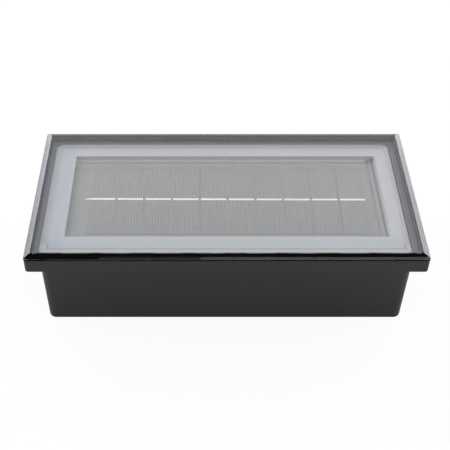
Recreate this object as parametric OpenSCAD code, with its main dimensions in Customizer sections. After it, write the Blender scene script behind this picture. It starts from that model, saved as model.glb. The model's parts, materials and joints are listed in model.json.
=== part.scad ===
// Recessed solar paving light.
// A drafted tray with a flanged rim drops into a brick-sized gap in the paving. A bevelled clear
// cover is bonded on the rim, over a frosted light frame, a ten-cell solar panel and rows of LEDs.
// The battery bay, the slide switch and the control board sit in the tray, reached from below.
// Origin at the centre of the base, +Z up, the long side along X. Millimetres.

/* [Overall] */
// Length over the rim and the cover
body_l = 200; // [180:1:240]
// Width over the rim and the cover
body_w = 100; // [90:1:130]
// Height from the base to the top of the cover
body_h = 52.4; // [50:0.1:64]

/* [Cover] */
// Thickness of the clear cover
cover_t = 2; // [1.8:0.1:3]
// Width of the bevel round the cover
bevel_w = 3.3; // [2.8:0.1:3.7]
// Width of the bevel's steep outer facet
facet_w = 1.2; // [0.8:0.1:1.6]
// Height of the steep outer facet
facet_h = 0.85; // [0.5:0.05:1]
// Height of the upright edge under the facets
cover_land = 0.45; // [0.2:0.05:0.6]
// Corner radius of the cover and the rim
rim_r = 1.8; // [1:0.1:3]
// Distance from the rim's edge to the bonding rebate
bond_lip = 0.9; // [0.7:0.1:1.2]
// Thickness of the bead
bond_t = 0.5; // [0.3:0.1:0.8]

/* [Rim and tray] */
// Height of the rim's outer skirt
rim_h = 8.4; // [7.6:0.1:11]
// Width of the upstand that carries the cover
upstand_w = 4; // [3.8:0.1:4.6]
// Depth of the recess inside the upstand
recess_d = 3.4; // [3:0.1:3.8]
// Overhang of the rim beyond the tray's wall
rim_step = 5.9; // [5.5:0.1:6.5]
// Thickness of the skirt
skirt_t = 2; // [1.6:0.1:2.4]
// Thickness of the flange round the opening
flange_t = 2.2; // [1.8:0.1:2.6]
// Thickness of the stiffening webs in the rim
web_t = 1.4; // [1:0.1:2.2]
// Greatest distance between two webs
web_pitch = 24; // [18:1:40]
// Thickness of the tray's wall
wall_t = 2.2; // [2:0.1:3]
// Thickness of the tray's floor
floor_t = 2.4; // [2:0.1:2.8]
// Draft of the tray's wall in degrees
draft = 1; // [0.5:0.1:1.5]
// Corner radius of the tray's wall
tray_r = 4.5; // [3.8:0.1:9]
// Radius of the tray's bottom edge
foot_r = 0.8; // [0.4:0.1:1.4]

/* [Light frame] */
// Thickness of the frosted frame
frame_t = 2.2; // [1.8:0.1:2.4]
// Width of the ledge round the opening that carries the frame's edge
ledge_w = 1; // [0.8:0.1:1.4]
// Corner radius of the frame
frame_r = 4.2; // [2:0.1:6]
// Width of the raised strip round the frame's edge
brow_w = 2.7; // [2:0.1:3.5]
// Height of the raised strip
brow_h = 0.3; // [0.2:0.05:0.5]
// Clearance of the frame and the carrier in the tray
frame_fit = 0.3; // [0.3:0.05:0.7]
// Width of the frosted band at the ends
band_end = 9.6; // [9:0.1:12]
// Width of the frosted band along the long sides
band_side = 10.6; // [9.4:0.1:14]
// Height of the window's wall above the panel's film
window_drop = 2.8; // [2.5:0.1:3.4]
// Width of the lip under the window's edge
lip_w = 1.6; // [1.2:0.1:2]

/* [Solar panel] */
// Play of the panel along its pocket
panel_play_l = 3.4; // [3:0.1:6]
// Play of the panel across its pocket
panel_play_w = 0.3; // [0.2:0.1:4]
// Distance of the panel from the middle, towards the right
panel_shift = -1.3; // [-1.4:0.1:1.4]
// Distance of the row of cells from the middle, towards the right
cell_shift = 1.5; // [-1.6:0.1:1.6]
// Distance of the row of cells from the middle, towards the back
cell_back = 0.9; // [-1:0.1:1]
// Thickness of the panel's board
panel_t = 1.6; // [1:0.1:2]
// Number of cells in the row
cell_count = 10; // [6:1:10]
// Bare strip of the panel beyond each end of the row of cells
cell_margin_l = 7.2; // [6:0.1:14]
// Bare strip of the panel before and behind the cells
cell_margin_w = 5.5; // [3:0.1:12]
// Gap between two cells
cell_gap = 0.5; // [0.3:0.1:1]
// Thickness of a cell
cell_t = 0.2; // [0.2:0.05:0.4]
// Width of the silver ribbon on each cell
ribbon_w = 1.8; // [1.2:0.1:2.5]
// Thickness of the ribbon
ribbon_t = 0.12; // [0.1:0.01:0.2]
// Clear film over the cells
film_t = 0.4; // [0.3:0.05:0.6]

/* [LEDs and carrier] */
// Wall and floor thickness of the carrier
carrier_t = 1.6; // [1.2:0.1:1.8]
// Depth of the light channel under the frame
channel_h = 7.5; // [6:0.1:9]
// Thickness of an LED strip's board
strip_t = 1.2; // [0.8:0.1:1.6]
// Room in the channel beyond each end of a strip
strip_end = 15.5; // [14.5:0.5:22]
// Width of the strips
strip_w = 4.6; // [4:0.1:5.2]
// LEDs on a front or back strip
long_led_count = 8; // [4:1:12]
// LEDs on an end strip
short_led_count = 3; // [2:1:4]

/* [Battery bay] */
// Diameter of the lithium cell
battery_d = 18.4; // [14:0.1:18.6]
// Length of the lithium cell
battery_l = 65; // [50:0.5:66]
// Room beside the cell
bay_side = 2.8; // [2.2:0.1:3.2]
// Wall thickness of the bay
bay_wall = 1.8; // [1.4:0.1:2.2]
// Distance of the bay from the tray's end wall
bay_end = 6; // [4:0.5:7]
// Thickness of the bay's door
door_t = 1.8; // [1.5:0.1:2.2]
// Recess of the door's face above the base
door_sink = 0.3; // [0.2:0.1:0.6]
// Clearance round the door
door_fit = 0.3; // [0.2:0.05:0.5]
// Thickness of the door's seal
seal_t = 0.9; // [0.6:0.1:1.2]

/* [Switch and board] */
// Length of the control board
pcb_l = 48; // [46:0.5:50]
// Width of the control board
pcb_w = 36; // [34:0.5:44]
// Thickness of the control board
pcb_t = 1.6; // [1:0.1:2]
// Travel of the switch lever
switch_travel = 2; // [1.5:0.1:2.4]
// Thickness of the rubber plug's flange
plug_t = 1; // [0.8:0.1:1.2]
// Diameter of the insulated leads
lead_d = 1.3; // [0.8:0.1:1.4]

/* [Hidden] */
$fn = 48;
eps = 0.01;

// Heights, from the top down
cover_z = body_h - cover_t;
rim_z = cover_z - rim_h;
frame_top = cover_z - recess_d;
frame_z = frame_top - frame_t;
film_top = frame_top - window_drop;
film_z = film_top - film_t;
cell_z = film_z - cell_t;
panel_z = cell_z - panel_t;
channel_z = frame_z - channel_h;
carrier_z = channel_z - carrier_t;

// Plan sizes of the tray, the opening and what lies in it
least_open_r = 2.3;
floor_edge_r = 0.8;
tray_l = body_l - 2 * rim_step;
tray_w = body_w - 2 * rim_step;
open_l = tray_l - 2 * wall_t;
open_w = tray_w - 2 * wall_t;
open_r = max(tray_r - wall_t, least_open_r);
inner_l = open_l - 2 * frame_fit;
inner_w = open_w - 2 * frame_fit;
inner_r = open_r - frame_fit;
frame_l = inner_l + 2 * ledge_w;
frame_w = inner_w + 2 * ledge_w;
draft_slope = tan(draft);
window_l = frame_l - 2 * band_end;
window_w = frame_w - 2 * band_side;
window_r = 1;
panel_l = window_l - panel_play_l;
panel_w = window_w - panel_play_w;
panel_r = 0.8;
cell_pitch = (panel_l - 2 * cell_margin_l) / cell_count;
cell_l = panel_w - 2 * cell_margin_w;
ribbon_end = 0.4;
ribbon_l = cell_pitch - cell_gap - 2 * ribbon_end;
recess_r = 0.6;
rim_edge = 0.4;
least_r = 0.5;
web_sink = 0.6;
bond_spill = 0.2;

// Light channel round the panel's pocket
pocket_l = window_l + 2 * carrier_t;
pocket_w = window_w + 2 * carrier_t;
channel_l = inner_l - 2 * carrier_t;
channel_w = inner_w - 2 * carrier_t;
channel_r = max(inner_r - carrier_t, least_r);
long_strip_l = channel_l - 2 * strip_end;
short_strip_l = channel_w - 2 * strip_end;
long_row_y = (pocket_w + channel_w) / 4;
short_row_x = (pocket_l + channel_l) / 4;

// Carrier screws stand in the channel beyond the ends of the long strips
screw_d = 3;
screw_head_d = 5.5;
screw_head_h = 2;
screw_len = 10;
screw_clear = 0.1;
screw_space = 2.2;
carrier_screw_x = long_strip_l / 2 + screw_head_d / 2 + screw_space;
boss_d = 7;
boss_depth = 12;
rib_gap = 1;
wall_rib_t = 1.4;
wall_rib_d = 2.2;
wall_rib_pitch = 30;

// Light-emitting packages
led_l = 3.5;
led_w = 2.8;
led_h = 0.8;
led_eye_d = 2.2;
led_eye_h = 0.2;
led_lead_x = long_strip_l / 2 - 5;
led_hole_d = strip_w - 0.6;

// Battery bay, door and seal, measured from the base up
contact_room = 7;
contact_t = 0.4;
contact_w = 14;
contact_h = 15;
contact_dimple_h = 1;
bay_l = battery_l + contact_room;
bay_w = battery_d + 2 * bay_side;
bay_r = 3;
door_top = door_sink + door_t;
ledge_z = door_top + seal_t;
ledge_t = 2;
door_margin_l = 10;
door_margin_w = 6;
door_l = bay_l + 2 * door_margin_l;
door_w = bay_w + 2 * door_margin_w;
door_r = 4;
spigot_fit = 0.3;
spigot_t = 1.4;
spigot_h = 2.5;
seal_w = 2.8;
seal_gap = 0.3;
squeeze = 0.05;
battery_rise = 1.6;
battery_z = door_top + battery_rise + battery_d / 2;
battery_fit = 0.3;
bay_headroom = 1.5;
bay_top = battery_z + battery_d / 2 + bay_headroom;
contact_lead_z = battery_z + 5.5;
cradle_t = 2;
cradle_pitch = battery_l / 2;
pad_edge = 2;
battery_x = bay_end + pad_edge + door_l / 2 - open_l / 2;
bay_edge_x = battery_x + door_l / 2 + pad_edge;
door_screw_d = 2.5;
door_head_d = 4.6;
door_head_h = 1.2;
door_head_fit = 0.3;
door_head_z = door_sink + screw_clear + door_head_h;
door_screw_len = 8;
door_boss_d = 6.4;
door_boss_top = 1.5;
door_inset_l = 3.6;
door_inset_w = 4.5;
door_screw_x = door_l / 2 - door_inset_l;
door_screw_y = door_w / 2 - door_inset_w;
door_pad_d = 5.8;
nub_d = 6;
nub_h = 1.2;
battery_right = battery_x + bay_l / 2 - contact_t - contact_dimple_h;
battery_left = battery_right - battery_l;

// Switch port, plug and control board, midway between the bay and the tray's other end
port_x = (bay_edge_x + open_l / 2) / 2;
shell_l = 8.6;
shell_w = 3.8;
shell_h = 3.6;
shell_wall = 0.4;
lever_w = 1.6;
lever_drop = 2;
lever_fit = 0.1;
carriage_l = 3.6;
carriage_h = 1.6;
port_l = 12;
port_w = 7;
port_r = 2;
plug_sink = 0.2;
plug_fit = 0.25;
plug_edge = 3.4;
plug_stem_h = 1.3;
plug_stem_t = 1.2;
plug_play = 0.1;
port_ledge_z = plug_sink + plug_t + plug_play;
port_collar = 1.6;
port_lip = 2;
port_top = port_ledge_z + plug_stem_h + port_lip;
lever_gap = 0.6;
lever_tip_z = port_ledge_z + plug_stem_h + lever_gap;
pcb_z = lever_tip_z + lever_drop + shell_h;
pcb_top = pcb_z + pcb_t;
pcb_r = 1.5;
pcb_inset = 4;
pcb_hole_x = pcb_l / 2 - pcb_inset;
pcb_hole_y = pcb_w / 2 - pcb_inset;
standoff_d = 5.6;
pcb_screw_len = 5;
notch_r = 4;

// Lead sockets on the control board: panel, LEDs and battery
socket_l = 6;
socket_w = 4.5;
socket_h = 5.5;
lead_spacing = 2.4;
lead_fit = 0.2;
lead_seat = 2;
lead_stub = 3;
lead_slack = 2;
jumper_d = 1;
jumper_inset = 1.2;
jumper_rise = 1.6;
socket_top = pcb_top + socket_h;
socket_x = 13;
socket_y = 9;
panel_socket = [port_x - socket_x, socket_y];
led_socket = [port_x + socket_x, socket_y];
battery_socket = [port_x - socket_x, -socket_y];
lead_sides = 8;
lead_steps = 4;

// What stands on the board: the capacitors' places with their radii and heights
chip_y = 2;
stand_off = 0.1;
inductor_at = [9, -6];
capacitor_sizes = [
    [-5, -10, 2.5, 7],
    [2, -11, 2, 5.4]
];
wire_hole_d = 2 * lead_spacing + lead_d;

// Plan outlines

module rounded_rect(l, w, r) {
    square([l - 2 * r, w], center = true);
    square([l, w - 2 * r], center = true);
    for (x = [-1, 1], y = [-1, 1])
        translate([x * (l / 2 - r), y * (w / 2 - r)])
            circle(r);
}

module plate(l, w, r, t) {
    linear_extrude(t)
        rounded_rect(l, w, r);
}

module ring(l, w, r, inset, t) {
    linear_extrude(t)
        difference() {
            rounded_rect(l, w, r);
            rounded_rect(l - 2 * inset, w - 2 * inset, max(r - inset, least_r));
        }
}

module four(x, y) {
    for (sx = [-1, 1], sy = [-1, 1])
        translate([sx * x, sy * y, 0])
            children();
}

// A block whose edge profile runs round a rounded rectangle. The profile is a list of
// [distance outwards from the corner's centre, height], from the bottom to the top.
module profiled_block(l, w, r, profile) {
    top = profile[len(profile) - 1][1];
    bottom = profile[0][1];
    side = function (reach) concat(
        [for (p = profile) [reach + p[0], p[1]]],
        [for (i = [len(profile) - 1:-1:0]) [-reach - profile[i][0], profile[i][1]]]
    );
    rotate([90, 0, 90])
        linear_extrude(l - 2 * r, center = true)
            polygon(side(w / 2 - r));
    rotate([90, 0, 0])
        linear_extrude(w - 2 * r, center = true)
            polygon(side(l / 2 - r));
    four(l / 2 - r, w / 2 - r)
        rotate_extrude()
            polygon(concat([[0, bottom]], profile, [[0, top]]));
}

// Profile of a drafted wall with a rounded bottom edge; r is the corner radius at the top
function drafted_profile(r, h, slope, edge_r, steps = 6) =
    let (
        at = function (z) r - slope * (h - z),
        hub = at(edge_r) - edge_r
    )
    concat(
        [for (i = [0:steps]) let (a = -90 + 90 * i / steps)
            [hub + edge_r * cos(a), edge_r + edge_r * sin(a)]],
        [[r, h]]
    );

// Places along a length, spread no further apart than the pitch
function spread(length, pitch) =
    let (n = ceil(length / pitch))
    [for (i = [0:n]) -length / 2 + i * length / n];

// Smooth route through hand-placed points, and a tube along it

function catmull(a, b, c, d, t) =
    0.5 * ((2 * b) + (c - a) * t + (2 * a - 5 * b + 4 * c - d) * t * t
        + (3 * b - a - 3 * c + d) * t * t * t);

function route(p, steps) = concat(
    [for (i = [0:len(p) - 2], k = [0:steps - 1])
        catmull(p[max(i - 1, 0)], p[i], p[i + 1], p[min(i + 2, len(p) - 1)], k / steps)],
    [p[len(p) - 1]]
);

function unit(v) = v / norm(v);

module tube(path, d, sides, up) {
    n = len(path);
    ahead = [for (i = [0:n - 1]) unit(path[min(i + 1, n - 1)] - path[max(i - 1, 0)])];
    points = [for (i = [0:n - 1], k = [0:sides - 1])
        let (u = unit(cross(ahead[i], up)), v = cross(u, ahead[i]), a = 360 * k / sides)
        path[i] + d / 2 * (cos(a) * u + sin(a) * v)];
    walls = [for (i = [0:n - 2], k = [0:sides - 1])
        let (m = (k + 1) % sides, a = i * sides, b = (i + 1) * sides)
        each [[a + k, b + m, b + k], [a + k, a + m, b + m]]];
    caps = [
        [for (k = [sides - 1:-1:0]) k],
        [for (k = [0:sides - 1]) (n - 1) * sides + k]
    ];
    polyhedron(points, concat(walls, caps));
}

// Screw with its head's seat at the origin and its tip below
module pan_screw(d, len, head_d, head_h) {
    slot_w = head_d * 0.16;
    tip_h = d * 0.4;
    crown = head_h * 0.4;
    difference() {
        rotate_extrude()
            polygon(concat(
                [[0, -len], [d * 0.18, -len], [d / 2, tip_h - len], [d / 2, 0], [head_d / 2, 0]],
                [for (i = [0:5]) let (a = 90 * i / 5)
                    [head_d / 2 - crown * (1 - cos(a)), head_h - crown * (1 - sin(a))]],
                [[0, head_h]]
            ));
        for (a = [0, 90])
            rotate([0, 0, a])
                translate([0, 0, head_h])
                    cube([head_d * 0.62, slot_w, head_h * 1.1], center = true);
    }
}

// The tray with its rim

module tray_shell() {
    difference() {
        union() {
            profiled_block(tray_l, tray_w, tray_r,
                drafted_profile(tray_r, rim_z + eps, draft_slope, foot_r));
            translate([0, 0, rim_z])
                profiled_block(body_l, body_w, rim_r, [
                    [rim_r - rim_edge, 0],
                    [rim_r, rim_edge],
                    [rim_r, rim_h - rim_edge],
                    [rim_r - rim_edge, rim_h]
                ]);
        }
        translate([0, 0, floor_t])
            profiled_block(open_l, open_w, open_r,
                drafted_profile(open_r, rim_z - floor_t + eps, draft_slope, floor_edge_r));
        translate([0, 0, rim_z])
            plate(open_l, open_w, open_r, rim_h);
        translate([0, 0, frame_z])
            plate(frame_l + 2 * frame_fit, frame_w + 2 * frame_fit, frame_r + frame_fit, rim_h);
        translate([0, 0, frame_top])
            plate(body_l - 2 * upstand_w, body_w - 2 * upstand_w, recess_r, recess_d + 1);
        translate([0, 0, cover_z - bond_t])
            bond_ring(bond_t + 1);
        rim_channel();
    }
}

// The bead spills a little past the upstand's inner edge
module bond_ring(t) {
    ring(body_l - 2 * bond_lip, body_w - 2 * bond_lip, max(rim_r - bond_lip, least_r),
        upstand_w + bond_spill - bond_lip, t);
}

// Hollow under the rim, left open below and crossed by webs
module rim_channel() {
    difference() {
        translate([0, 0, rim_z - 1])
            linear_extrude(rim_h - recess_d - flange_t + 1)
                difference() {
                    rounded_rect(body_l - 2 * skirt_t, body_w - 2 * skirt_t,
                        max(rim_r - skirt_t, least_r));
                    rounded_rect(tray_l, tray_w, tray_r);
                }
        for (x = spread(tray_l - 2 * tray_r, web_pitch))
            translate([x - web_t / 2, -body_w / 2, rim_z + web_sink])
                cube([web_t, body_w, rim_h]);
        for (y = spread(tray_w - 2 * tray_r, web_pitch))
            translate([-body_l / 2, y - web_t / 2, rim_z + web_sink])
                cube([body_l, web_t, rim_h]);
    }
}

module wall_ribs() {
    rib_z = floor_t - eps;
    rib_h = carrier_z - rib_gap - rib_z;
    for (x = spread(open_l - 2 * wall_rib_pitch, wall_rib_pitch), s = [-1, 1])
        translate([x - wall_rib_t / 2, s * (tray_w / 2 - wall_t - wall_rib_d / 2) - wall_rib_d / 2,
            rib_z])
            cube([wall_rib_t, wall_rib_d, rib_h]);
}

module carrier_bosses() {
    reach = open_w / 2 - long_row_y;
    four(carrier_screw_x, long_row_y)
        translate([0, 0, floor_t - eps])
            cylinder(d = boss_d, h = carrier_z - floor_t + eps);
    for (x = [-1, 1], s = [-1, 1])
        translate([x * carrier_screw_x - wall_rib_t / 2, s * (long_row_y + reach / 2) - reach / 2,
            floor_t - eps])
            cube([wall_rib_t, reach, carrier_z - rib_gap - floor_t]);
}

module bay_walls() {
    translate([battery_x, 0, 0]) {
        plate(door_l + 2 * pad_edge, door_w + 2 * pad_edge, door_r + pad_edge,
            ledge_z + ledge_t);
        plate(bay_l + 2 * bay_wall, bay_w + 2 * bay_wall, bay_r + bay_wall,
            bay_top + bay_wall);
        four(door_screw_x, door_screw_y)
            cylinder(d = door_boss_d, h = ledge_z + door_screw_len + door_boss_top);
    }
}

module bay_hollow() {
    translate([battery_x, 0, 0]) {
        translate([0, 0, -1])
            plate(door_l, door_w, door_r, ledge_z + 1);
        difference() {
            translate([0, 0, ledge_z - eps])
                plate(bay_l, bay_w, bay_r, bay_top - ledge_z + eps);
            bay_cradles();
        }
        four(door_screw_x, door_screw_y)
            translate([0, 0, ledge_z - eps])
                cylinder(d = door_screw_d + 2 * screw_clear, h = door_screw_len);
    }
    for (s = [-1, 1])
        translate([battery_x + s * (bay_l / 2 + bay_wall / 2), 0, contact_lead_z])
            rotate([0, 90, 0])
                cylinder(d = lead_d + 2 * lead_fit, h = bay_wall + 1, center = true);
}

module bay_cradles() {
    for (s = [-1, 1])
        translate([battery_left - battery_x + battery_l / 2 + s * cradle_pitch / 2, 0, 0])
            difference() {
                translate([-cradle_t / 2, -bay_w / 2 - 1, battery_z + 2])
                    cube([cradle_t, bay_w + 2, bay_top - battery_z]);
                translate([-cradle_t, 0, battery_z])
                    rotate([0, 90, 0])
                        cylinder(d = battery_d + 2 * battery_fit, h = 2 * cradle_t);
            }
}

module port_walls() {
    translate([port_x, 0, 0])
        plate(port_l + 2 * port_collar, port_w + 2 * port_collar, port_r + port_collar, port_top);
    translate([port_x, 0, floor_t - eps])
        four(pcb_hole_x, pcb_hole_y)
            cylinder(d = standoff_d, h = pcb_z - floor_t + eps);
}

module port_hollow() {
    translate([port_x, 0, -1]) {
        plate(port_l, port_w, port_r, port_top + 2);
        plate(port_l + 2 * plug_edge, port_w + 2 * plug_edge, port_r + plug_edge,
            port_ledge_z + 1);
        translate([port_l / 2 + plug_edge, 0, 0])
            cylinder(r = notch_r, h = port_ledge_z + 1);
    }
    translate([port_x, 0, pcb_z - pcb_screw_len + pcb_t])
        four(pcb_hole_x, pcb_hole_y)
            cylinder(d = door_screw_d + 2 * screw_clear, h = pcb_screw_len + 1);
}

module housing() {
    color([0.09, 0.09, 0.095])
        difference() {
            union() {
                tray_shell();
                wall_ribs();
                carrier_bosses();
                bay_walls();
                port_walls();
            }
            bay_hollow();
            port_hollow();
            four(carrier_screw_x, long_row_y)
                translate([0, 0, carrier_z - boss_depth])
                    cylinder(d = screw_d + 2 * screw_clear, h = boss_depth + 1);
        }
}

// Cover and light frame

// The bevels meet in mitres, and only the upright edge has rounded corners
module cover() {
    color([0.75, 0.8, 0.84, 0.4])
        translate([0, 0, cover_z])
            intersection() {
                plate(body_l, body_w, rim_r, cover_t);
                rotate([90, 0, 90])
                    bevelled_bar(body_w / 2, body_l + 2);
                rotate([90, 0, 0])
                    bevelled_bar(body_l / 2, body_w + 2);
            }
}

module bevelled_bar(half, length) {
    side = [
        [half, 0],
        [half, cover_land],
        [half - facet_w, cover_land + facet_h],
        [half - bevel_w, cover_t]
    ];
    linear_extrude(length, center = true)
        polygon(concat(side, [for (i = [len(side) - 1:-1:0]) [-side[i][0], side[i][1]]]));
}

module cover_bond() {
    color([0.03, 0.03, 0.03])
        translate([0, 0, cover_z - bond_t])
            bond_ring(bond_t);
}

module light_frame() {
    color([0.73, 0.74, 0.76])
        translate([0, 0, frame_z]) {
            linear_extrude(frame_t)
                difference() {
                    rounded_rect(frame_l, frame_w, frame_r);
                    rounded_rect(window_l, window_w, window_r);
                }
            translate([0, 0, frame_t - eps])
                ring(frame_l, frame_w, frame_r, brow_w, brow_h + eps);
            translate([0, 0, film_top - frame_z])
                linear_extrude(frame_z - film_top + eps)
                    difference() {
                        rounded_rect(window_l + 2 * lip_w, window_w + 2 * lip_w,
                            window_r + lip_w);
                        rounded_rect(window_l, window_w, window_r);
                    }
        }
}

module carrier() {
    hollow_h = panel_z - carrier_t - carrier_z;
    color([0.92, 0.92, 0.9])
        difference() {
            translate([0, 0, carrier_z])
                plate(inner_l, inner_w, inner_r, frame_z - carrier_z);
            translate([0, 0, channel_z])
                linear_extrude(channel_h + 1)
                    difference() {
                        rounded_rect(channel_l, channel_w, channel_r);
                        rounded_rect(pocket_l, pocket_w, window_r + carrier_t);
                    }
            translate([0, 0, film_top])
                plate(channel_l, channel_w, channel_r, frame_z);
            translate([0, 0, panel_z])
                plate(window_l, window_w, window_r, frame_z);
            difference() {
                translate([0, 0, carrier_z - 1])
                    plate(window_l, window_w, window_r, hollow_h + 1);
                carrier_ribs(hollow_h);
            }
            four(carrier_screw_x, long_row_y)
                translate([0, 0, carrier_z - 1])
                    cylinder(d = screw_d + 4 * screw_clear, h = carrier_t + 2);
            translate([panel_socket[0], panel_socket[1], panel_z - carrier_t - 1])
                cylinder(d = wire_hole_d, h = carrier_t + 2);
            translate([led_lead_x, long_row_y, carrier_z - 1])
                cylinder(d = led_hole_d, h = carrier_t + 2);
        }
}

module carrier_ribs(h) {
    for (i = [-2:2])
        translate([i * window_l / 6 - carrier_t / 2, -window_w / 2, carrier_z])
            cube([carrier_t, window_w, h]);
    translate([-window_l / 2, -carrier_t / 2, carrier_z])
        cube([window_l, carrier_t, h]);
}

module carrier_screws() {
    color("silver")
        translate([0, 0, channel_z])
            four(carrier_screw_x, long_row_y)
                pan_screw(screw_d, screw_len, screw_head_d, screw_head_h);
}

// Solar panel

module panel_board() {
    color([0.56, 0.56, 0.57])
        translate([panel_shift, 0, panel_z])
            plate(panel_l, panel_w, panel_r, panel_t);
}

module solar_cells() {
    color([0.52, 0.52, 0.54])
        for (i = [0:cell_count - 1])
            translate([cell_x(i) - (cell_pitch - cell_gap) / 2, cell_back - cell_l / 2, cell_z])
                cube([cell_pitch - cell_gap, cell_l, cell_t]);
}

function cell_x(i) = cell_shift + (i - (cell_count - 1) / 2) * cell_pitch;

// A shallow bed in the film takes each ribbon
module cell_ribbons() {
    color([0.85, 0.85, 0.83])
        for (i = [0:cell_count - 1])
            translate([cell_x(i), cell_back, film_z + ribbon_t / 2])
                cube([ribbon_l, ribbon_w, ribbon_t], center = true);
}

module panel_film() {
    color([0.7, 0.7, 0.7, 0.3])
        difference() {
            translate([panel_shift, 0, film_z])
                plate(panel_l, panel_w, panel_r, film_t);
            for (i = [0:cell_count - 1])
                translate([cell_x(i), cell_back, film_z])
                    cube([ribbon_l, ribbon_w, 2 * ribbon_t], center = true);
        }
}

// LED strips and their packages

module strip_board(l, w) {
    color([0.9, 0.9, 0.88])
        translate([-l / 2, -w / 2, 0])
            cube([l, w, strip_t]);
}

module led_row(count, length) {
    pitch = length / count;
    color([0.95, 0.9, 0.6])
        for (i = [0:count - 1])
            translate([(i - (count - 1) / 2) * pitch, 0, strip_t])
                difference() {
                    translate([-led_l / 2, -led_w / 2, 0])
                        cube([led_l, led_w, led_h]);
                    translate([0, 0, led_h - led_eye_h])
                        cylinder(d = led_eye_d, h = led_h);
                }
}

module on_long_side(s) {
    translate([0, s * long_row_y, channel_z])
        children();
}

module on_short_side(s) {
    translate([s * short_row_x, 0, channel_z])
        rotate([0, 0, 90])
            children();
}

module led_strip_front() {
    on_long_side(-1)
        strip_board(long_strip_l, strip_w);
}

module led_strip_back() {
    on_long_side(1)
        strip_board(long_strip_l, strip_w);
}

module led_strip_left() {
    on_short_side(-1)
        strip_board(short_strip_l, strip_w);
}

module led_strip_right() {
    on_short_side(1)
        strip_board(short_strip_l, strip_w);
}

module leds_front() {
    on_long_side(-1)
        led_row(long_led_count, long_strip_l);
}

module leds_back() {
    on_long_side(1)
        led_row(long_led_count, long_strip_l);
}

module leds_left() {
    on_short_side(-1)
        led_row(short_led_count, short_strip_l);
}

module leds_right() {
    on_short_side(1)
        led_row(short_led_count, short_strip_l);
}

// Short insulated links that carry the supply round the corners of the channel
module strip_jumpers() {
    start_z = channel_z + strip_t;
    hop_z = channel_z + screw_head_h + jumper_rise;
    mid_z = (start_z + hop_z) / 2;
    long_end = long_strip_l / 2 - jumper_inset;
    short_end = short_strip_l / 2 - jumper_inset;
    color([0.75, 0.1, 0.1])
        for (sx = [-1, 1], sy = [-1, 1])
            tube(route([
                [sx * long_end, sy * long_row_y, start_z],
                [sx * long_end, sy * long_row_y, mid_z],
                [sx * long_end, sy * long_row_y, hop_z],
                [sx * carrier_screw_x, sy * long_row_y, hop_z],
                [sx * short_row_x, sy * pocket_w / 2, hop_z],
                [sx * short_row_x, sy * short_end, hop_z],
                [sx * short_row_x, sy * short_end, mid_z],
                [sx * short_row_x, sy * short_end, start_z]
            ], lead_steps), jumper_d, lead_sides, [sx, sy, 0]);
}

// Control board and what is on it

module control_board() {
    color([0.05, 0.32, 0.16])
        translate([port_x, 0, pcb_z])
            difference() {
                plate(pcb_l, pcb_w, pcb_r, pcb_t);
                four(pcb_hole_x, pcb_hole_y)
                    translate([0, 0, -1])
                        cylinder(d = door_screw_d + 4 * screw_clear, h = pcb_t + 2);
            }
}

module board_screws() {
    color("silver")
        translate([port_x, 0, pcb_top])
            four(pcb_hole_x, pcb_hole_y)
                pan_screw(door_screw_d, pcb_screw_len, door_head_d, door_head_h);
}

module driver_chip() {
    chip_l = 4.9;
    chip_w = 3.9;
    chip_h = 1.5;
    leg_w = 0.4;
    leg_l = 0.9;
    leg_h = 0.6;
    leg_pitch = 1.27;
    color([0.07, 0.07, 0.07])
        translate([port_x, chip_y, pcb_top]) {
            translate([-chip_l / 2, -chip_w / 2, stand_off])
                cube([chip_l, chip_w, chip_h]);
            for (i = [-1.5:1.5], s = [-1, 1])
                translate([i * leg_pitch - leg_w / 2, s * (chip_w + leg_l) / 2 - leg_l / 2, 0])
                    cube([leg_w, leg_l, leg_h]);
        }
}

module power_inductor() {
    drum_r = 3;
    core_r = 2.2;
    drum_h = 4.6;
    cheek = 0.9;
    taper = 0.3;
    color([0.22, 0.2, 0.19])
        translate([port_x + inductor_at[0], inductor_at[1], pcb_top])
            rotate_extrude()
                polygon([
                    [0, 0], [drum_r, 0], [drum_r, cheek], [core_r, cheek + taper],
                    [core_r, drum_h - cheek - taper], [drum_r, drum_h - cheek],
                    [drum_r, drum_h], [0, drum_h]
                ]);
}

module capacitor(r, h) {
    groove_z = 0.9;
    groove_w = 0.3;
    groove_d = 0.2;
    edge = 0.4;
    rotate_extrude()
        polygon([
            [0, 0], [r, 0], [r, groove_z - groove_w], [r - groove_d, groove_z],
            [r, groove_z + groove_w], [r, h - edge], [r - edge, h], [0, h]
        ]);
}

module capacitors() {
    color([0.12, 0.14, 0.3])
        for (c = capacitor_sizes)
            translate([port_x + c[0], c[1], pcb_top])
                capacitor(c[2], c[3]);
}

module chip_resistors() {
    size = [1.25, 2, 0.5];
    pitch = 2 * size[0];
    color([0.15, 0.15, 0.17])
        for (i = [0:3])
            translate([port_x - chip_y + (i - 1.5) * pitch, -2 * chip_y, pcb_top])
                cube(size);
}

module lead_sockets() {
    color([0.93, 0.92, 0.88])
        for (p = [panel_socket, led_socket, battery_socket])
            translate([p[0], p[1], pcb_top])
                difference() {
                    translate([-socket_l / 2, -socket_w / 2, 0])
                        cube([socket_l, socket_w, socket_h]);
                    for (s = [-1, 1])
                        translate([s * lead_spacing / 2, 0, socket_h - lead_seat])
                            cylinder(d = lead_d + 2 * lead_fit, h = lead_seat + 1);
                }
}

// A pair of leads that rises from a socket to the underside of a board, with some slack
module rising_leads(socket, far, far_spacing) {
    stub = [0, 0, lead_stub];
    color([0.7, 0.08, 0.08])
        for (s = [-1, 1]) {
            start = [socket[0] + s * lead_spacing / 2, socket[1], socket_top - lead_seat];
            finish = [far[0] + s * far_spacing / 2, far[1], far[2]];
            tube(route([
                start,
                start + stub,
                start + 2 * stub,
                (start + finish) / 2 + [0, lead_slack, 0],
                finish - 2 * stub,
                finish - stub,
                finish
            ], lead_steps), lead_d, lead_sides, [1, 0, 0]);
        }
}

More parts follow.
